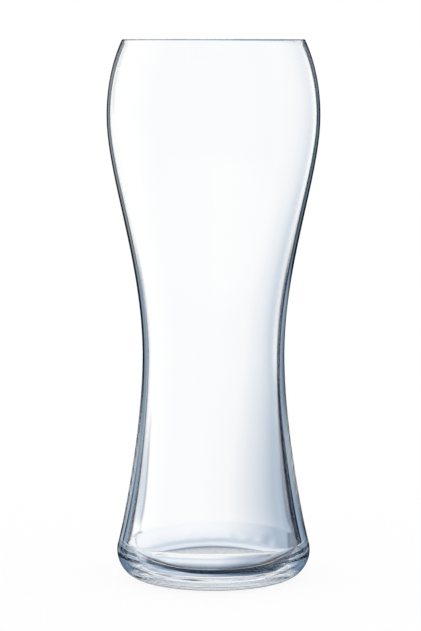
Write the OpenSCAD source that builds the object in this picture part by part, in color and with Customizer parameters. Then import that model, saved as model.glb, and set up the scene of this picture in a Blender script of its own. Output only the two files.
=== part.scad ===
// Tall waisted drinking glass of clear glass, turned about Z and standing on Z = 0.
// One wall runs without a break from the rounded rim down to the thick base.
// Each module is one zone of that wall, and neighbouring zones share the flat ring where they meet.

/* [Outline] */
// Height of the glass
glass_h = 205; // [170:1:260]
// Outside diameter of the rim
rim_d = 69.2; // [60:0.1:74]
// Slant of the wall just below the rim, in degrees
rim_lean = 24.5; // [10:0.5:32]
// Outside diameter of the belly, the widest level
belly_d = 80.6; // [78:0.1:96]
// Drop from the rim to the belly
shoulder_h = 28.8; // [24:0.1:40]
// Outside diameter of the waist, the narrowest level
waist_d = 54; // [46:0.1:64]
// Height of the waist above the table
waist_z = 86; // [80:0.5:100]
// Outside diameter of the foot
foot_d = 73.8; // [66:0.1:86]
// Radius of the rounded heel between the skirt and the table
heel_r = 10.5; // [6:0.5:13]
// Slant of the skirt where it runs into the heel, in degrees
skirt_lean = 14.5; // [8:0.5:20]

/* [Curves] */
// Pull of the shoulder curve at both of its ends, as a share of its height
shoulder_pull = 0.345; // [0.2:0.005:0.45]
// Pull of the taper at the belly, as a share of its height
belly_pull = 0.25; // [0.1:0.01:0.5]
// Pull of the taper at the waist, as a share of its height
waist_pull = 0.39; // [0.1:0.01:0.5]
// Pull of the skirt at the waist, as a share of its height
skirt_pull = 0.355; // [0.1:0.005:0.5]
// Pull of the skirt at the heel, as a share of its height
heel_pull = 0.16; // [0.1:0.01:0.5]

/* [Wall] */
// Thickness of the rounded rim
rim_wall = 1.3; // [1:0.1:2.5]
// Thickness of the wall at the belly
belly_wall = 1.2; // [1:0.1:3]
// Thickness of the wall at the waist
waist_wall = 1.8; // [1:0.1:4]
// Glass between the widest level of the foot and the widest level of the well inside it
foot_wall = 3.8; // [3:0.1:8]
// Thickness of the base under the flat floor
floor_t = 6.3; // [4:0.1:12]
// Radius of the corner between the floor and the inside of the wall
corner_r = 7; // [5:0.5:13]

/* [Underside] */
// Width of the flat ring that the glass stands on
ring_w = 3; // [1:0.5:8]
// Depth of the hollow inside the standing ring
punt_depth = 1.2; // [0.4:0.1:3]

/* [Zones] */
// Height of the rim zone
rim_h = 5; // [3:0.5:8]
// Height of the belly zone, with the widest level in its middle
belly_h = 26; // [16:1:30]
// Height of the waist zone, with the narrowest level in its middle
waist_h = 44; // [20:1:60]
// Height of the base zone's edge above the flat floor
base_lip = 1.2; // [0.5:0.1:3]

/* [Hidden] */
$fn = 128;
curve_steps = 22;
arc_steps = 14;
glass_tint = [0.82, 0.9, 0.95];

// Centres of the three rounded places in the section: the rim, the heel and the inside corner.
rim_round = rim_wall / 2;
rim_c = [rim_d / 2 - rim_round, glass_h - rim_round];
heel_c = [foot_d / 2 - heel_r, heel_r];
corner_c = [foot_d / 2 - foot_wall - corner_r, floor_t + corner_r];
// Height of the widest level, and radius of the hollow under the base.
belly_z = glass_h - shoulder_h;
punt_r = heel_c.x - ring_w;

function on_circle(c, r, a) = c + r * [cos(a), sin(a)];

function arc(c, r, from, to) = [for (i = [1 : arc_steps]) on_circle(c, r, from + (to - from) * i / arc_steps)];

function bezier(p, t) =
    pow(1 - t, 3) * p[0] + 3 * pow(1 - t, 2) * t * p[1] + 3 * (1 - t) * t * t * p[2] + t * t * t * p[3];

// Smooth curve down from point a to point b, which starts and ends at the given slants.
function run_down(a, lean_a, pull_a, b, lean_b, pull_b) =
    let (
        h = a.y - b.y,
        start = a + pull_a * h * [sin(lean_a), -cos(lean_a)],
        end = b - pull_b * h * [sin(lean_b), -cos(lean_b)]
    )
    [for (i = [1 : curve_steps]) bezier([a, start, end, b], i / curve_steps)];

// One face of the wall, from the rim to its lowest rounded place.
function wall_face(top, at_belly, at_waist, bottom) =
    let (
        belly_p = [at_belly, belly_z],
        waist_p = [at_waist, waist_z]
    )
    concat(
        run_down(top, rim_lean, shoulder_pull, belly_p, 0, shoulder_pull),
        run_down(belly_p, 0, belly_pull, waist_p, 0, waist_pull),
        run_down(waist_p, 0, skirt_pull, bottom, skirt_lean, heel_pull)
    );

outer_top = on_circle(rim_c, rim_round, rim_lean);
inner_top = on_circle(rim_c, rim_round, rim_lean + 180);
heel_tip = on_circle(heel_c, heel_r, skirt_lean);
corner_tip = on_circle(corner_c, corner_r, skirt_lean);
outer_face = wall_face(outer_top, belly_d / 2, waist_d / 2, heel_tip);
inner_face = wall_face(inner_top, belly_d / 2 - belly_wall, waist_d / 2 - waist_wall, corner_tip);

// Half section of the whole glass: over the rim, down the outside, across the underside,
// then out along the floor and up the inside.
section = concat(
    arc(rim_c, rim_round, rim_lean + 180, rim_lean),
    outer_face,
    arc(heel_c, heel_r, skirt_lean, -90),
    [for (i = [0 : arc_steps]) let (s = 1 - i / arc_steps) [punt_r * s, punt_depth * (1 - s * s)]],
    [[0, floor_t]],
    [[corner_c.x, floor_t]],
    arc(corner_c, corner_r, -90, skirt_lean),
    [for (i = [len(inner_face) - 2 : -1 : 0]) inner_face[i]],
    [inner_top]
);

// Heights at which the zones meet.
base_top = floor_t + base_lip;
heel_top = max(heel_tip.y, corner_tip.y);
waist_low = waist_z - waist_h / 2;
waist_high = waist_z + waist_h / 2;
belly_low = belly_z - belly_h / 2;
belly_high = belly_z + belly_h / 2;
rim_low = glass_h - rim_h;

// The part of the glass between two heights.
module zone(low, high) {
    rotate_extrude()
        intersection() {
            polygon(section);
            translate([0, low])
                square([belly_d, high - low]);
        }
}

module rim() {
    color(glass_tint)
        zone(rim_low, glass_h);
}

module shoulder() {
    color(glass_tint)
        zone(belly_high, rim_low);
}

module belly() {
    color(glass_tint)
        zone(belly_low, belly_high);
}

module taper() {
    color(glass_tint)
        zone(waist_high, belly_low);
}

module waist() {
    color(glass_tint)
        zone(waist_low, waist_high);
}

module skirt() {
    color(glass_tint)
        zone(heel_top, waist_low);
}

module heel() {
    color(glass_tint)
        zone(base_top, heel_top);
}

module base() {
    color(glass_tint)
        zone(0, base_top);
}

rim();
shoulder();
belly();
taper();
waist();
skirt();
heel();
base();
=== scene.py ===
"""Tall waisted drinking glass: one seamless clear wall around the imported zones, in a white light tent."""
import math

import bpy
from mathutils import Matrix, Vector


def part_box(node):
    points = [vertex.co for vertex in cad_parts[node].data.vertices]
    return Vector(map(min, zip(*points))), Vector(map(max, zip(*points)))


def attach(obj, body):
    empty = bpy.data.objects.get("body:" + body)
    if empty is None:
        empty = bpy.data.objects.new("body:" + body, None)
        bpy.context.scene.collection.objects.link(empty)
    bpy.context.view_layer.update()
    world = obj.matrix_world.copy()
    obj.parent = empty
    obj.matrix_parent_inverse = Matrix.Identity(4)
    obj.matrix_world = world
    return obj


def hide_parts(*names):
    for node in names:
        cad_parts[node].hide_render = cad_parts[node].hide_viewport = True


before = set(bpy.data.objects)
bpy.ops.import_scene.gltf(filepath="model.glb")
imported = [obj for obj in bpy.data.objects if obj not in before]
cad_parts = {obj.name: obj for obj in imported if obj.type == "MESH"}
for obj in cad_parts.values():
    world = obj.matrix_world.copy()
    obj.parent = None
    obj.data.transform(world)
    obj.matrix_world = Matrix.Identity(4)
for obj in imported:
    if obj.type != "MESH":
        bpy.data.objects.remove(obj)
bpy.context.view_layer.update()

MM = 0.001
DEGREES = 180 / math.pi

# Slants of the wall from the upright, and pulls of its curves, as the solids have them
RIM_LEAN = math.radians(24.5)
SKIRT_LEAN = math.radians(14.5)
SHOULDER_PULL = 0.345
BELLY_PULL = 0.25
WAIST_PULL = 0.39
SKIRT_PULL = 0.355
HEEL_PULL = 0.16
LIP_ROUND = 0.65 * MM

# Fineness of the turned wall
CURVE_STEPS = 22
FINEST_STEP = 0.1 * MM
SEAM_GAP = FINEST_STEP / 20
TURN_STEPS = 256
LEVEL_SLACK = 0.01 * MM

# Ripple of the pressed heel: its depth, its spread, and where it begins, is full and fades out
RIPPLE_DEPTH = 0.16 * MM
RIPPLE_SPREAD = 7 * MM
RIPPLE_INSET = 0.5 * MM
RIPPLE_BLEND = 1 * MM
RIPPLE_START, RIPPLE_FULL = 0.4 * MM, 3 * MM
RIPPLE_FADE, RIPPLE_TOP = 6 * MM, 12 * MM

# Finish of the glass: its blue cast, and the spots rubbed dull on the ring that it stands on
REFRACTION = 1.52
BLUE_CAST = (0.2, 0.45, 0.65, 1.0)
CAST_PER_M = 1
RUBBED_H = 0.1 * MM
RUBBED_DULL = 0.25
SCUFFS_PER_M = 700
SCUFF_DETAIL = 4

# Camera of the photograph, from the glass's axis and the floor
CAMERA_BACK = 1010 * MM
CAMERA_UP = 208 * MM
CAMERA_LEFT = 1.13 * MM
CAMERA_PITCH = math.radians(6.07)
CAMERA_LENS = 152.5
CAMERA_SENSOR = 36

# Light tent: bearings and heights are in degrees, from straight behind the glass and from level
SCREEN_PITCH = 45
HALF_PITCH = SCREEN_PITCH / 2
BEHIND = (-24, 36, 3)
LEAN_START = -10
GAP_LEAN = 0.8
SHADE_LEAN = 0.25
PATCH_START = -7
PATCH_LEAN = 3

# Cards round the glass: their radius, height and foot, and the levels at which their stripes change
CARD_SIDES = 180
CARD_BACK = 150 * MM
CARD_H = 250 * MM
CARD_SUNK = 15 * MM
CARD_REACH = 90
LOW_LEVEL = 12 * MM
SKIRT_LEVEL = 30 * MM
WAIST_LEVEL = 50 * MM
WAIST_TOP = 86 * MM
BOWL_LEVEL = 98 * MM
WAIST_LEAN_PER_MM = 0.27
GLANCE_SHIFT = 10
LOW_CARD_BACK = 160 * MM
LOW_CARD_H = 90 * MM
LOW_CARD_TOP = 16 * MM

# Paper under the glass
PAPER_SIZE = 8
PAPER_TONE = 0.1
PAPER_GLOW = 0.9

# Bounces that light needs to leave the thick heel
ALL_BOUNCES = 96
MIRROR_BOUNCES = 80
FACE_BOUNCES = 32


def linear(red, green, blue):
    """Linear colour from the 0 to 255 values that a picture shows."""
    channels = []
    for level in (red, green, blue):
        share = level / 255
        channels.append(share / 12.92 if share <= 0.04045 else ((share + 0.055) / 1.055) ** 2.4)
    return (*channels, 1.0)


def grey(level):
    return (level, level, level, 1.0)


# Tones of what the glass stands among, dark to pale
EDGE_DARK = linear(8, 14, 20)
EDGE_GREY = linear(20, 24, 28)
NAVY = linear(6, 28, 54)
# Painted shade of the table seen through the base, deepest on its right
TABLE_DEEP_SHADE = linear(26, 46, 70)
LINE_DARK = linear(44, 58, 72)
# Painted shade of the table seen through the base, at its left
TABLE_SHADE = linear(56, 76, 98)
LINE_BLUE = linear(80, 98, 114)
EDGE_MID = linear(96, 100, 104)
MID_BLUE = linear(84, 105, 128)
DEEP_GREY = linear(104, 122, 138)
HEEL_BLUE = linear(112, 140, 168)
CARD_GREY = linear(130, 148, 164)
MID_GREY = linear(148, 151, 153)
LINE_GREY = linear(145, 162, 176)
SOFT_BLUE = linear(142, 165, 189)
CARD_BLUE = linear(158, 180, 202)
HEEL_SOFT = linear(170, 189, 208)
CARD_PALE = linear(182, 193, 204)
SCREEN_EDGE = linear(186, 201, 215)
ROOM_GREY = linear(190, 203, 216)
# Two tones of painted shade
SHADE_LINE = linear(196, 209, 222)
SHADE_SOFT = linear(214, 224, 235)
PALE_BLUE = linear(222, 233, 245)
# Two more tones of painted shade
SHADE_PALE = linear(230, 237, 245)
SHADE_FAINT = linear(238, 243, 248)
HEEL_PALE = linear(250, 252, 255)
WHITE = grey(1.0)


# Shader nodes

def add_node(tree, kind, **values):
    node = tree.nodes.new(kind)
    for name, value in values.items():
        setattr(node, name, value)
    return node


def feed(tree, socket, value):
    """Links a socket to another node's output, or sets it to a number or a colour."""
    if hasattr(value, "is_output"):
        tree.links.new(value, socket)
    else:
        socket.default_value = value


def split(tree, place):
    """The three parts of a place."""
    node = add_node(tree, "ShaderNodeSeparateXYZ")
    feed(tree, node.inputs[0], place)
    return node.outputs


def maths(tree, operation, first, second):
    """One operation on two values, each another node's output or a number."""
    node = add_node(tree, "ShaderNodeMath", operation=operation)
    feed(tree, node.inputs[0], first)
    feed(tree, node.inputs[1], second)
    return node.outputs[0]


def clamp(tree, value, low, high):
    node = add_node(tree, "ShaderNodeClamp")
    feed(tree, node.inputs["Value"], value)
    feed(tree, node.inputs["Min"], low)
    feed(tree, node.inputs["Max"], high)
    return node.outputs[0]


def more_than(tree, count, limit):
    """1 where a whole count is above a limit, and 0 elsewhere."""
    return maths(tree, "GREATER_THAN", count, limit + 0.5)


def at_most(tree, count, limit):
    """1 where a whole count is no more than a limit, and 0 elsewhere."""
    return maths(tree, "LESS_THAN", count, limit + 0.5)


def ramp(tree, value, low, high, stops):
    """Colour by a value between low and high; stops are (value, colour) in rising order."""
    share = add_node(tree, "ShaderNodeMapRange")
    feed(tree, share.inputs["Value"], value)
    feed(tree, share.inputs["From Min"], low)
    feed(tree, share.inputs["From Max"], high)
    node = add_node(tree, "ShaderNodeValToRGB")
    elements = node.color_ramp.elements
    while len(elements) < len(stops):
        elements.new(0.5)
    for element, (at, colour) in zip(elements, stops):
        element.position = (at - low) / (high - low)
        element.color = colour
    feed(tree, node.inputs["Fac"], share.outputs[0])
    return node.outputs["Color"]


def window(tree, value, low, high, soft):
    """1 between two values and 0 outside them, with soft ends."""
    return ramp(tree, value, low - 2 * soft, high + 2 * soft, [
        (low - soft, grey(0)), (low, grey(1)), (high, grey(1)), (high + soft, grey(0))])


def mix(tree, factor, first, second, kind="MIX"):
    """Mix of two colours, through the node's colour sockets, which are its seventh and eighth."""
    node = add_node(tree, "ShaderNodeMix", data_type="RGBA", blend_type=kind)
    feed(tree, node.inputs[0], factor)
    feed(tree, node.inputs[6], first)
    feed(tree, node.inputs[7], second)
    return node.outputs[2]


def both(tree, first, second):
    """Where two shares overlap."""
    return mix(tree, 1.0, first, second, "MULTIPLY")


def either(tree, first, second):
    """The larger of two shares."""
    return mix(tree, 1.0, first, second, "LIGHTEN")


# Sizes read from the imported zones

def rings(zone):
    """Radius and height of every vertex of one packed zone."""
    return [(math.hypot(v.co.x, v.co.y), v.co.z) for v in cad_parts[zone].data.vertices]


def radii_at(zone, height):
    """Inner and outer radius of a zone at one of its own levels."""
    here = [r for r, z in rings(zone) if abs(z - height) < LEVEL_SLACK]
    return min(here), max(here)


def on_circle(centre, radius, angle):
    return centre + radius * Vector((math.cos(angle), math.sin(angle)))


glass_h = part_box("rim")[1].z
belly_out, belly_z = max(rings("belly"))
belly_in = radii_at("belly", belly_z)[0]
waist_in, waist_z = min(rings("waist"))
waist_out = radii_at("waist", waist_z)[1]
ring_in, ring_out = radii_at("base", 0)
foot_out = max(rings("heel"))[0]
heel_r = foot_out - ring_out
punt_depth = max(z for r, z in rings("base") if r < ring_in / 2)
floor_z = max(z for r, z in rings("base") if r < ring_out)
corner_tip_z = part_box("skirt")[0].z
corner_tip_x = radii_at("skirt", corner_tip_z)[0]
corner_r = (corner_tip_z - floor_z) / (1 + math.sin(SKIRT_LEAN))
lip_x = max((z, r) for r, z in rings("rim"))[1]

heel_c = Vector((ring_out, heel_r))
corner_c = Vector((corner_tip_x - corner_r * math.cos(SKIRT_LEAN), floor_z + corner_r))
lip_c = Vector((lip_x, glass_h - LIP_ROUND))


# The glass

def arc_pull(sweep):
    """Handle length, as a share of the radius, that makes a curve follow an arc."""
    return 4 / 3 * math.tan(sweep / 4)


def arc_knots(centre, radius, start, sweep, pieces, first_pull, last_pull):
    """Knots along an arc, each as place, heading, pull behind and pull ahead."""
    turn = math.copysign(math.pi / 2, sweep)
    step = sweep / pieces
    pull = radius * arc_pull(abs(step))
    knots = []
    for i in range(pieces + 1):
        angle = start + step * i
        behind = first_pull if i == 0 else pull
        ahead = last_pull if i == pieces else pull
        knots.append((on_circle(centre, radius, angle), angle + turn, behind, ahead))
    return knots


def wall_section():
    """Knots of the half section: underside, outside, over the lip, inside and floor."""
    up, down, inward = math.pi / 2, -math.pi / 2, math.pi
    heel_sweep = up + SKIRT_LEAN
    heel_tip_z = on_circle(heel_c, heel_r, SKIRT_LEAN).y
    corner_tip = on_circle(corner_c, corner_r, SKIRT_LEAN)
    lip_z = lip_c.y
    rise = LIP_ROUND * math.sin(RIM_LEAN)
    taper_h = belly_z - waist_z
    outer_skirt_h, inner_skirt_h = waist_z - heel_tip_z, waist_z - corner_tip.y
    outer_shoulder_h, inner_shoulder_h = lip_z + rise - belly_z, lip_z - rise - belly_z
    punt_edge_slope = math.atan2(-2 * punt_depth, ring_in)
    punt_pull = math.hypot(ring_in, 2 * punt_depth) / 3
    ring_third = (ring_out - ring_in) / 3
    floor_third = corner_c.x / 3
    return [
        (Vector((0, punt_depth)), 0, 0, ring_in / 3),
        (Vector((ring_in, 0)), punt_edge_slope, punt_pull, 0),
        *arc_knots(heel_c, heel_r, down, heel_sweep, 2, ring_third, HEEL_PULL * outer_skirt_h),
        (Vector((waist_out, waist_z)), up, SKIRT_PULL * outer_skirt_h, WAIST_PULL * taper_h),
        (Vector((belly_out, belly_z)), up, BELLY_PULL * taper_h, SHOULDER_PULL * outer_shoulder_h),
        *arc_knots(lip_c, LIP_ROUND, RIM_LEAN, math.pi, 2,
                   SHOULDER_PULL * outer_shoulder_h, SHOULDER_PULL * inner_shoulder_h),
        (Vector((belly_in, belly_z)), down, SHOULDER_PULL * inner_shoulder_h, BELLY_PULL * taper_h),
        (Vector((waist_in, waist_z)), down, WAIST_PULL * taper_h, SKIRT_PULL * inner_skirt_h),
        *arc_knots(corner_c, corner_r, SKIRT_LEAN, -heel_sweep, 2, HEEL_PULL * inner_skirt_h, floor_third),
        (Vector((0, floor_z)), inward, floor_third, 0),
    ]


def draw_section():
    """Draws the half section as a curve."""
    bpy.ops.object.select_all(action="DESELECT")
    bpy.ops.curve.primitive_bezier_curve_add(location=(0, 0, 0))
    drawn = bpy.context.object
    drawn.data.resolution_u = CURVE_STEPS
    spline = drawn.data.splines[0]
    knots = wall_section()
    spline.bezier_points.add(len(knots) - len(spline.bezier_points))
    for point, (place, heading, behind, ahead) in zip(spline.bezier_points, knots):
        way = Vector((math.cos(heading), math.sin(heading)))
        before, after = place - behind * way, place + ahead * way
        point.handle_left_type = point.handle_right_type = "FREE"
        point.co = (place.x, 0, place.y)
        point.handle_left = (before.x, 0, before.y)
        point.handle_right = (after.x, 0, after.y)


def turn_glass():
    """Turns the drawn half section about Z and closes it into one skin."""
    draw_section()
    bpy.ops.object.convert(target="MESH")
    glass = bpy.context.object
    glass.name = glass.data.name = "clear_wall"
    bpy.ops.object.mode_set(mode="EDIT")
    bpy.ops.mesh.select_all(action="SELECT")
    bpy.ops.mesh.remove_doubles(threshold=FINEST_STEP)
    bpy.ops.mesh.spin(steps=TURN_STEPS, angle=2 * math.pi, center=(0, 0, 0), axis=(0, 0, 1))
    bpy.ops.mesh.select_all(action="SELECT")
    bpy.ops.mesh.remove_doubles(threshold=SEAM_GAP)
    bpy.ops.mesh.normals_make_consistent(inside=False)
    bpy.ops.object.mode_set(mode="OBJECT")
    bpy.ops.object.shade_smooth()
    return glass


def fade(value, start, end):
    """0 before start, 1 past end, and even between them."""
    return min(max((value - start) / (end - start), 0), 1)


def heel_share(radius, height):
    """How far a spot takes part in the heel's ripple: not the standing ring, the well or the upper skirt."""
    start = corner_tip_x + RIPPLE_INSET
    outside = fade(radius, start, start + RIPPLE_BLEND)
    rise = fade(height, RIPPLE_START, RIPPLE_FULL)
    return outside * rise * (1 - fade(height, RIPPLE_FADE, RIPPLE_TOP))


def ripple_heel(glass):
    """Sinks the heel's skin unevenly by up to the ripple's depth, as pressed glass has it."""
    name = "heel_ripple"
    group = glass.vertex_groups.new(name=name)
    for vertex in glass.data.vertices:
        share = heel_share(math.hypot(vertex.co.x, vertex.co.y), vertex.co.z)
        if share > 0:
            group.add([vertex.index], share, "REPLACE")
    clouds = bpy.data.textures.new(name, "CLOUDS")
    clouds.noise_scale = RIPPLE_SPREAD
    clouds.noise_depth = 1
    sink = glass.modifiers.new(name, "DISPLACE")
    sink.texture = clouds
    sink.texture_coords = "LOCAL"
    sink.vertex_group = name
    sink.strength = RIPPLE_DEPTH
    sink.mid_level = 1.0
    bpy.ops.object.modifier_apply(modifier=name)


def rubbed_ring(tree):
    """Dullness of the standing ring, in scuffed spots."""
    place = add_node(tree, "ShaderNodeTexCoord").outputs["Object"]
    stood_on = ramp(tree, split(tree, place)["Z"], 0, 2 * RUBBED_H, [
        (RUBBED_H / 3, grey(1)), (RUBBED_H, grey(0))])
    scuffs = add_node(tree, "ShaderNodeTexNoise")
    feed(tree, scuffs.inputs["Vector"], place)
    feed(tree, scuffs.inputs["Scale"], SCUFFS_PER_M)
    feed(tree, scuffs.inputs["Detail"], SCUFF_DETAIL)
    spots = ramp(tree, scuffs.outputs["Fac"], 0, 1, [(0.4, grey(0.15)), (0.62, grey(1))])
    return maths(tree, "MULTIPLY", both(tree, stood_on, spots), RUBBED_DULL)


def clear_glass():
    """Clear glass with a faint blue cast where it is thick, and a rubbed standing ring."""
    material = bpy.data.materials.new("clear_glass")
    material.use_nodes = True
    tree = material.node_tree
    shader = tree.nodes["Principled BSDF"]
    shader.inputs["Base Color"].default_value = WHITE
    shader.inputs["IOR"].default_value = REFRACTION
    shader.inputs["Transmission Weight"].default_value = 1.0
    feed(tree, shader.inputs["Roughness"], rubbed_ring(tree))
    cast = add_node(tree, "ShaderNodeVolumeAbsorption")
    cast.inputs["Color"].default_value = BLUE_CAST
    cast.inputs["Density"].default_value = CAST_PER_M
    feed(tree, tree.nodes["Material Output"].inputs["Volume"], cast.outputs["Volume"])
    return material


# The light tent

def spot(tree, bearing, sides, height, levels):
    """A soft patch; sides and levels are each (low, high, soft)."""
    return both(tree, window(tree, bearing, *sides), window(tree, height, *levels))


def in_front(tree, bearing, start, end):
    """0 up to a bearing on either side, and 1 from another on, round to the front."""
    return ramp(tree, bearing, -180, 180, [
        (-end, grey(1)), (-start, grey(0)), (start, grey(0)), (end, grey(1))])


def beside_screen(tree, bearing, height):
    """Bearing from the middle of the nearest screen, drawn in low down by the curve of the skirt."""
    place = maths(tree, "ADD", bearing, 360 + HALF_PITCH)
    place = maths(tree, "MODULO", place, SCREEN_PITCH)
    place = maths(tree, "SUBTRACT", place, HALF_PITCH)
    drawn = ramp(tree, height, -40, 0, [
        (-24.5, grey(0.5)), (-23.2, grey(0.95)), (-21, grey(0.89)), (-18, grey(0.775)), (-14, grey(0.625)),
        (-12, grey(0.56)), (-10, grey(0.5))])
    return maths(tree, "MULTIPLY", place, maths(tree, "MULTIPLY", drawn, 2))


def leaning(tree, aside, height, low, high, lean):
    """A bearing that leans aside with height, between two heights above the start of the lean."""
    above = clamp(tree, maths(tree, "SUBTRACT", height, LEAN_START), low, high)
    return maths(tree, "SUBTRACT", aside, maths(tree, "MULTIPLY", above, lean))


def gapped_screens(tree, bearing, height, aside, behind):
    """White screens with leaning dark gaps between them, and with grey edges low behind the glass."""
    place = leaning(tree, aside, height, 0, 5, GAP_LEAN)

    def screen(stops):
        return ramp(tree, place, -HALF_PITCH, HALF_PITCH, stops)

    high_part = screen([
        (-22.5, NAVY), (-21.6, NAVY), (-20, WHITE), (12, WHITE), (13.5, MID_BLUE), (15, NAVY), (22.5, NAVY)])
    low_part = screen([
        (-22.5, NAVY), (-21.6, NAVY), (-20.6, PALE_BLUE), (-18, SCREEN_EDGE), (-12.6, SCREEN_EDGE),
        (-12, LINE_GREY), (-11.4, LINE_GREY), (-10.4, WHITE), (12, WHITE), (13.3, MID_BLUE), (15.5, MID_BLUE),
        (17, NAVY), (22.5, NAVY)])
    deep_part = screen([
        (-16.4, WHITE), (-15.8, SCREEN_EDGE), (-15, SCREEN_EDGE), (-14.2, WHITE), (12, WHITE),
        (13.5, MID_BLUE), (16, MID_BLUE), (18, NAVY), (22.5, NAVY)])
    low = ramp(tree, height, -40, 0, [(-10.3, grey(1)), (-9.1, grey(0))])
    deep = ramp(tree, height, -40, 0, [(-18.5, grey(1)), (-15.5, grey(0))])
    low_part = mix(tree, deep, low_part, deep_part)
    screens = mix(tree, both(tree, low, behind), high_part, low_part)
    return mix(tree, window(tree, bearing, 21, 36, 1), screens, NAVY)


def shade_share(tree, height, aside, behind):
    """How far the shade falls across the right of each screen, narrower high up."""
    place = leaning(tree, aside, height, -2, 5, SHADE_LEAN)
    wide = ramp(tree, place, -HALF_PITCH, HALF_PITCH, [
        (-0.6, grey(0)), (1.5, grey(0.06)), (4, grey(0.4)), (8, grey(0.94)), (12.5, grey(1)), (16, grey(0))])
    narrow = ramp(tree, place, -HALF_PITCH, HALF_PITCH, [
        (-0.6, grey(0)), (1.5, grey(0.06)), (4, grey(0.4)), (6.5, grey(0.94)), (8, grey(0.85)),
        (10, grey(0.15)), (12, grey(0))])
    high = ramp(tree, height, -40, 0, [(-8.5, grey(0)), (-6, grey(1))])
    not_low = ramp(tree, height, -40, 0, [(-14, grey(0)), (-10, grey(1))])
    return both(tree, mix(tree, high, wide, narrow), either(tree, not_low, behind))


def floor_edge_shade(tree, bearing, height):
    """Painted shade over what shows through the far lower corner, where the inside floor meets the wall."""
    edge = ramp(tree, height, -60, -10, [
        (-52, NAVY), (-45, MID_BLUE), (-38, CARD_GREY), (-34, SCREEN_EDGE), (-31.5, SHADE_PALE),
        (-29, SHADE_PALE), (-27, SHADE_SOFT), (-25, SHADE_LINE), (-23.4, SHADE_SOFT), (-21.8, SHADE_FAINT),
        (-19, HEEL_PALE), (-12, WHITE)])
    steep = ramp(tree, height, -90, 0, [(-58, grey(1)), (-50, grey(0))])
    from_above = both(tree, steep, window(tree, bearing, -30, 12, 4))
    return mix(tree, from_above, edge, CARD_BLUE)


def screens_behind(tree, bearing, height):
    """What light straight through both walls meets: eight white screens, each shaded on its right."""
    behind = window(tree, bearing, *BEHIND)
    aside = beside_screen(tree, bearing, height)
    screens = gapped_screens(tree, bearing, height, aside, behind)
    shade = ramp(tree, height, -40, 15, [
        (-12, SOFT_BLUE), (-10, SOFT_BLUE), (-7, HEEL_SOFT), (-2, SHADE_LINE), (10, WHITE)])
    screens = mix(tree, shade_share(tree, height, aside, behind), screens, shade, "MULTIPLY")
    return mix(tree, behind, screens, floor_edge_shade(tree, bearing, height), "MULTIPLY")


def glints_across(tree, bearing, height, turns):
    """What light mirrored by the far wall or the floor meets: white, with dark patches low behind."""
    lean = maths(tree, "MULTIPLY", maths(tree, "SUBTRACT", height, PATCH_START), PATCH_LEAN)
    from_left = ramp(tree, maths(tree, "SUBTRACT", bearing, lean), -60, 60, [(-19, grey(0)), (-15, grey(1))])
    patch = both(tree, from_left, spot(tree, bearing, (-16, 19, 3), height, (-30, -7, 1.5)))
    patch = either(tree, patch, spot(tree, bearing, (-3, 22, 3), height, (-8, -2.5, 1)))
    left_patch = spot(tree, bearing, (-62, -10, 3), height, (-36, -11, 1))
    right_patch = spot(tree, bearing, (6, 26, 2), height, (-16.5, -6.5, 1))
    side_patches = either(tree, left_patch, right_patch)
    patch = mix(tree, more_than(tree, turns, 1), patch, side_patches)
    glints = mix(tree, patch, WHITE, NAVY)
    base_tone = ramp(tree, bearing, -180, 180, [(-8, PALE_BLUE), (8, SOFT_BLUE)])
    round_base = mix(tree, window(tree, height, -9, 25, 1.5), WHITE, base_tone)
    return mix(tree, more_than(tree, turns, 3), glints, round_base)


def room_beside(tree, bearing, height, turns):
    """What light mirrored in one wall meets: white behind, grey in front, dark strips if mirrored again."""
    room = mix(tree, window(tree, bearing, -80, 80, 35), ROOM_GREY, WHITE)
    strip = spot(tree, bearing, (-40, 40, 4), height, (-19, 8, 4))
    front_strip = both(tree, in_front(tree, bearing, 86, 94), window(tree, height, -45, 8, 4))
    strips = both(tree, either(tree, strip, front_strip), more_than(tree, turns, 1))
    strip_tone = ramp(tree, bearing, -60, 60, [(-18, MID_BLUE), (-12, LINE_DARK)])
    return mix(tree, strips, room, strip_tone)


def heel_glow(tree, bearing, height):
    """What light mirrored many times in the heel meets: blue at the sides, dark low behind, white above."""
    sides = ramp(tree, bearing, -180, 180, [
        (-130, HEEL_PALE), (-100, HEEL_BLUE), (-16, HEEL_BLUE), (-6, HEEL_PALE), (8, HEEL_PALE),
        (18, HEEL_BLUE), (100, HEEL_BLUE), (130, HEEL_PALE)])
    sides = mix(tree, spot(tree, bearing, (-30, 30, 5), height, (-20, 0, 3)), sides, LINE_DARK)
    low_front = both(tree, in_front(tree, bearing, 95, 110), window(tree, height, -45, 0, 3))
    sides = mix(tree, low_front, sides, HEEL_BLUE)
    rising = ramp(tree, height, -90, 90, [(10, grey(0)), (22, grey(1))])
    sides = mix(tree, rising, sides, either(tree, sides, HEEL_SOFT))
    top = ramp(tree, height, -90, 90, [(26, grey(0)), (44, grey(1))])
    return mix(tree, top, sides, WHITE)


def off_skin(tree, bearing, height, room):
    """What light glancing off the outer skin meets: a dark strip under the heel and another above the rim."""
    under = ramp(tree, height, -90, 0, [(-28, grey(1)), (-20, grey(0))])
    over = window(tree, height, 28, 64, 4)
    strips = both(tree, window(tree, bearing, -46, 46, 8), either(tree, under, over))
    return mix(tree, strips, room, LINE_DARK)


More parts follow.
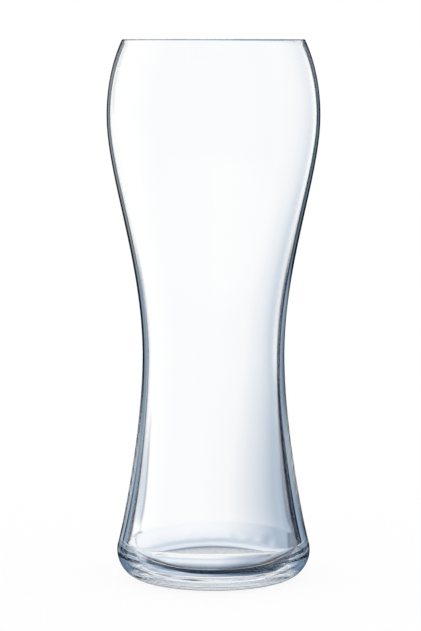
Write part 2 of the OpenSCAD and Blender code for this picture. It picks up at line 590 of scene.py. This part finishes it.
def shaded_table_below(tree, bearing, height):
    """What light bent down through the base meets: a table, pale behind, with painted shade at its sides and
    a painted shadow of the glass below.
    """
    # Painted shade: the table darker at its sides, deepest on the right
    table = ramp(tree, bearing, -90, 90, [
        (-88, WHITE), (-80, TABLE_SHADE), (-36, TABLE_SHADE), (-31, SOFT_BLUE), (-24, SOFT_BLUE),
        (-20, PALE_BLUE), (-16, SCREEN_EDGE), (-4, SCREEN_EDGE), (3, SOFT_BLUE), (10, MID_BLUE),
        (18, TABLE_DEEP_SHADE), (76, TABLE_DEEP_SHADE), (88, WHITE)])
    far = ramp(tree, height, -60, -20, [(-47, grey(0)), (-41, grey(1))])
    left = ramp(tree, bearing, -60, 0, [(-36, grey(1)), (-30, grey(0))])
    table = mix(tree, both(tree, far, left), table, PALE_BLUE)
    # Painted shadow of the glass on the table right below it, met by the steepest rays
    under = ramp(tree, height, -90, -20, [(-61, grey(1)), (-57, grey(0))])
    return mix(tree, under, table, NAVY)


def light_tent():
    """White all round to the eye; the glass also meets screens with dark gaps and painted shade, a grey room
    and a table with painted shade and shadow.
    """
    world = bpy.data.worlds.new("light_tent")
    world.use_nodes = True
    tree = world.node_tree
    way = split(tree, add_node(tree, "ShaderNodeTexCoord").outputs["Generated"])
    bearing = maths(tree, "MULTIPLY", maths(tree, "ARCTAN2", way["X"], way["Y"]), DEGREES)
    height = maths(tree, "MULTIPLY", maths(tree, "ARCSINE", way["Z"], 0.0), DEGREES)

    path = add_node(tree, "ShaderNodeLightPath")
    faces_passed = path.outputs["Transmission Depth"]
    turns = path.outputs["Glossy Depth"]
    past_skin = more_than(tree, faces_passed, 0)
    past_wall = more_than(tree, faces_passed, 2)
    is_mirrored = more_than(tree, turns, 0)
    in_heel = more_than(tree, turns, 3)

    low = ramp(tree, height, -40, -10, [(-25, grey(1)), (-19, grey(0))])
    room = room_beside(tree, bearing, height, turns)
    in_wall = mix(tree, low, room, shaded_table_below(tree, bearing, height))
    mirrored = mix(tree, past_skin, off_skin(tree, bearing, height, room), in_wall)
    mirrored = mix(tree, in_heel, mirrored, heel_glow(tree, bearing, height))
    mirrored = mix(tree, past_wall, mirrored, glints_across(tree, bearing, height, turns))
    straight = mix(tree, past_wall, WHITE, screens_behind(tree, bearing, height))
    met_by_glass = mix(tree, is_mirrored, straight, mirrored)
    plain = maths(tree, "MAXIMUM", path.outputs["Is Camera Ray"], path.outputs["Is Diffuse Ray"])
    feed(tree, tree.nodes["Background"].inputs["Color"], mix(tree, plain, met_by_glass, WHITE))
    bpy.context.scene.world = world


# Cards, paper and camera

def round_card(name, back, height, foot):
    """Round card about the glass that neither shows to the eye nor shades or tints the paper."""
    bpy.ops.object.select_all(action="DESELECT")
    bpy.ops.mesh.primitive_cylinder_add(
        vertices=CARD_SIDES, radius=back, depth=height, end_fill_type="NOTHING",
        location=(0, 0, foot + height / 2))
    card = bpy.context.object
    card.name = card.data.name = name
    bpy.ops.object.transform_apply(location=True)
    card.visible_camera = card.visible_diffuse = card.visible_shadow = False
    return card


def cut_to_side(card, side):
    """Keeps the quarter of a round card from straight behind to one side."""
    bpy.ops.object.mode_set(mode="EDIT")
    bpy.ops.mesh.select_all(action="DESELECT")
    bpy.ops.object.mode_set(mode="OBJECT")
    for vertex in card.data.vertices:
        aside = side * math.degrees(math.atan2(vertex.co.x, vertex.co.y))
        vertex.select = aside < 0 or aside > CARD_REACH
    bpy.ops.object.mode_set(mode="EDIT")
    bpy.ops.mesh.delete(type="VERT")
    bpy.ops.object.mode_set(mode="OBJECT")


def card_tree(card):
    """Nodes of a card's own material, empty but for the output."""
    material = bpy.data.materials.new(card.name)
    material.use_nodes = True
    tree = material.node_tree
    tree.nodes.remove(tree.nodes["Principled BSDF"])
    card.data.materials.append(material)
    return tree


def show_to(tree, tone, rays):
    """Gives a card its tone for some rays and makes it clear to all others."""
    glow = add_node(tree, "ShaderNodeEmission")
    feed(tree, glow.inputs["Color"], tone)
    blend = add_node(tree, "ShaderNodeMixShader")
    feed(tree, blend.inputs["Fac"], rays)
    feed(tree, blend.inputs[1], add_node(tree, "ShaderNodeBsdfTransparent").outputs[0])
    feed(tree, blend.inputs[2], glow.outputs[0])
    feed(tree, tree.nodes["Material Output"].inputs["Surface"], blend.outputs[0])


def glance_shift(tree, level):
    """Degrees by which light glancing off the skin finds the stripes further aside, most of all low down."""
    share = ramp(tree, level, 0, CARD_H, [(60 * MM, grey(0.9)), (90 * MM, grey(0.6)), (140 * MM, grey(0.3))])
    return maths(tree, "MULTIPLY", share, GLANCE_SHIFT)


def striped_card(name, side, low, skirt, waist, bowl, waist_lean):
    """Card with upright stripes on one side behind the glass; only light mirrored once meets it."""
    card = round_card(name, CARD_BACK, CARD_H, -CARD_SUNK)
    cut_to_side(card, side)
    tree = card_tree(card)
    path = add_node(tree, "ShaderNodeLightPath")
    faces_passed = path.outputs["Transmission Depth"]
    turns = path.outputs["Glossy Depth"]
    place = split(tree, add_node(tree, "ShaderNodeTexCoord").outputs["Object"])
    level = place["Z"]
    aside = maths(tree, "MULTIPLY", maths(tree, "ARCTAN2", place["X"], place["Y"]), side * DEGREES)
    shift = maths(tree, "MULTIPLY", glance_shift(tree, level), at_most(tree, faces_passed, 0))
    aside = maths(tree, "SUBTRACT", aside, shift)
    above_waist = clamp(tree, maths(tree, "SUBTRACT", level, WAIST_LEVEL), 0, WAIST_TOP - WAIST_LEVEL)
    waist_aside = maths(tree, "ADD", aside, maths(tree, "MULTIPLY", above_waist, waist_lean / MM))

    def stripes(where, stops):
        return ramp(tree, where, 0, CARD_REACH, stops)

    def rising(start, end):
        return ramp(tree, level, -CARD_SUNK, CARD_H, [(start, grey(0)), (end, grey(1))])

    tone = mix(tree, rising(LOW_LEVEL, SKIRT_LEVEL), stripes(aside, low), stripes(aside, skirt))
    tone = mix(tree, rising(SKIRT_LEVEL, WAIST_LEVEL), tone, stripes(waist_aside, waist))
    tone = mix(tree, rising(WAIST_TOP, BOWL_LEVEL), tone, stripes(aside, bowl))
    mirrored_once = maths(tree, "MULTIPLY", more_than(tree, turns, 0), at_most(tree, turns, 1))
    show_to(tree, tone, maths(tree, "MULTIPLY", at_most(tree, faces_passed, 2), mirrored_once))


def cards_beside():
    """The right card is darker, with a broad navy stripe; the left one is paler, with thin lines."""
    striped_card(
        "dark_card", 1,
        low=[(6, WHITE), (9, EDGE_DARK), (26, EDGE_DARK), (29, DEEP_GREY), (40, SOFT_BLUE), (47.5, CARD_BLUE),
             (49, NAVY), (62, NAVY), (66, SOFT_BLUE), (76, SOFT_BLUE), (86, WHITE)],
        skirt=[(6, WHITE), (9, EDGE_DARK), (21, EDGE_DARK), (28, CARD_PALE), (46.5, CARD_PALE), (49.5, NAVY),
               (62, NAVY), (66, SOFT_BLUE), (76, SOFT_BLUE), (86, WHITE)],
        waist=[(6, WHITE), (9, EDGE_DARK), (23, EDGE_DARK), (30, DEEP_GREY), (38, CARD_GREY),
               (48.5, CARD_BLUE), (51, NAVY), (60, NAVY), (66, WHITE)],
        bowl=[(6, WHITE), (9, EDGE_DARK), (31, EDGE_DARK), (34, DEEP_GREY), (38.5, DEEP_GREY),
              (41, LINE_DARK), (45, LINE_DARK), (46.5, WHITE)],
        waist_lean=WAIST_LEAN_PER_MM)
    striped_card(
        "pale_card", -1,
        low=[(6, WHITE), (9, EDGE_GREY), (24, EDGE_GREY), (28, CARD_PALE), (36.5, CARD_PALE),
             (38.5, LINE_DARK), (41, LINE_DARK), (43.5, CARD_GREY), (48, CARD_BLUE), (51.5, SOFT_BLUE),
             (53.5, LINE_DARK), (58, LINE_DARK), (61, WHITE)],
        skirt=[(6, WHITE), (9, EDGE_GREY), (23, EDGE_GREY), (28, LINE_GREY), (36.5, CARD_PALE),
               (40.5, CARD_GREY), (43, CARD_GREY), (46, CARD_BLUE), (50, LINE_GREY), (52.5, LINE_BLUE),
               (57, LINE_BLUE), (60, WHITE)],
        waist=[(6, WHITE), (9, EDGE_GREY), (29, EDGE_GREY), (35, LINE_GREY), (42, CARD_GREY),
               (47, CARD_BLUE), (52, LINE_GREY), (56, WHITE)],
        bowl=[(6, WHITE), (9, EDGE_GREY), (30, EDGE_GREY), (34, MID_GREY), (39, MID_GREY), (41, EDGE_MID),
              (43.5, EDGE_MID), (45, WHITE)],
        waist_lean=0.0)


def low_card():
    """Dark ring low round the glass; only light glancing off the outer skin meets it."""
    card = round_card("low_card", LOW_CARD_BACK, LOW_CARD_H, LOW_CARD_TOP - LOW_CARD_H)
    tree = card_tree(card)
    path = add_node(tree, "ShaderNodeLightPath")
    on_skin = at_most(tree, path.outputs["Transmission Depth"], 0)
    one_turn = at_most(tree, path.outputs["Glossy Depth"], 1)
    show_to(tree, LINE_DARK, maths(tree, "MULTIPLY", on_skin, one_turn))


def paper_floor():
    """White paper that keeps a soft shadow."""
    bpy.ops.object.select_all(action="DESELECT")
    bpy.ops.mesh.primitive_plane_add(size=PAPER_SIZE, location=(0, 0, 0))
    floor = bpy.context.object
    floor.name = "paper_floor"
    floor.visible_transmission = False
    floor.visible_glossy = False
    material = bpy.data.materials.new("white_paper")
    material.use_nodes = True
    tree = material.node_tree
    shader = tree.nodes["Principled BSDF"]
    shader.inputs["Base Color"].default_value = grey(PAPER_TONE)
    shader.inputs["Roughness"].default_value = 1.0
    shader.inputs["Specular IOR Level"].default_value = 0.0
    shader.inputs["Emission Color"].default_value = WHITE
    to_the_eye = add_node(tree, "ShaderNodeLightPath").outputs["Is Camera Ray"]
    feed(tree, shader.inputs["Emission Strength"], maths(tree, "MULTIPLY", to_the_eye, PAPER_GLOW))
    floor.data.materials.append(material)


def photo_camera():
    camera = bpy.data.cameras.new("photo_camera")
    camera.lens = CAMERA_LENS
    camera.sensor_width = CAMERA_SENSOR
    holder = bpy.data.objects.new("photo_camera", camera)
    bpy.context.scene.collection.objects.link(holder)
    holder.location = (-CAMERA_LEFT, -CAMERA_BACK, CAMERA_UP)
    holder.rotation_euler = (math.pi / 2 - CAMERA_PITCH, 0, 0)
    bpy.context.scene.camera = holder


photo_camera()
light_tent()
cards_beside()
low_card()
paper_floor()
glass = turn_glass()
ripple_heel(glass)
glass.data.materials.append(clear_glass())
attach(glass, "root")
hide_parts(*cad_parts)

bpy.context.scene.view_settings.view_transform = "Standard"
bpy.context.scene.cycles.max_bounces = ALL_BOUNCES
bpy.context.scene.cycles.glossy_bounces = MIRROR_BOUNCES
bpy.context.scene.cycles.transmission_bounces = FACE_BOUNCES
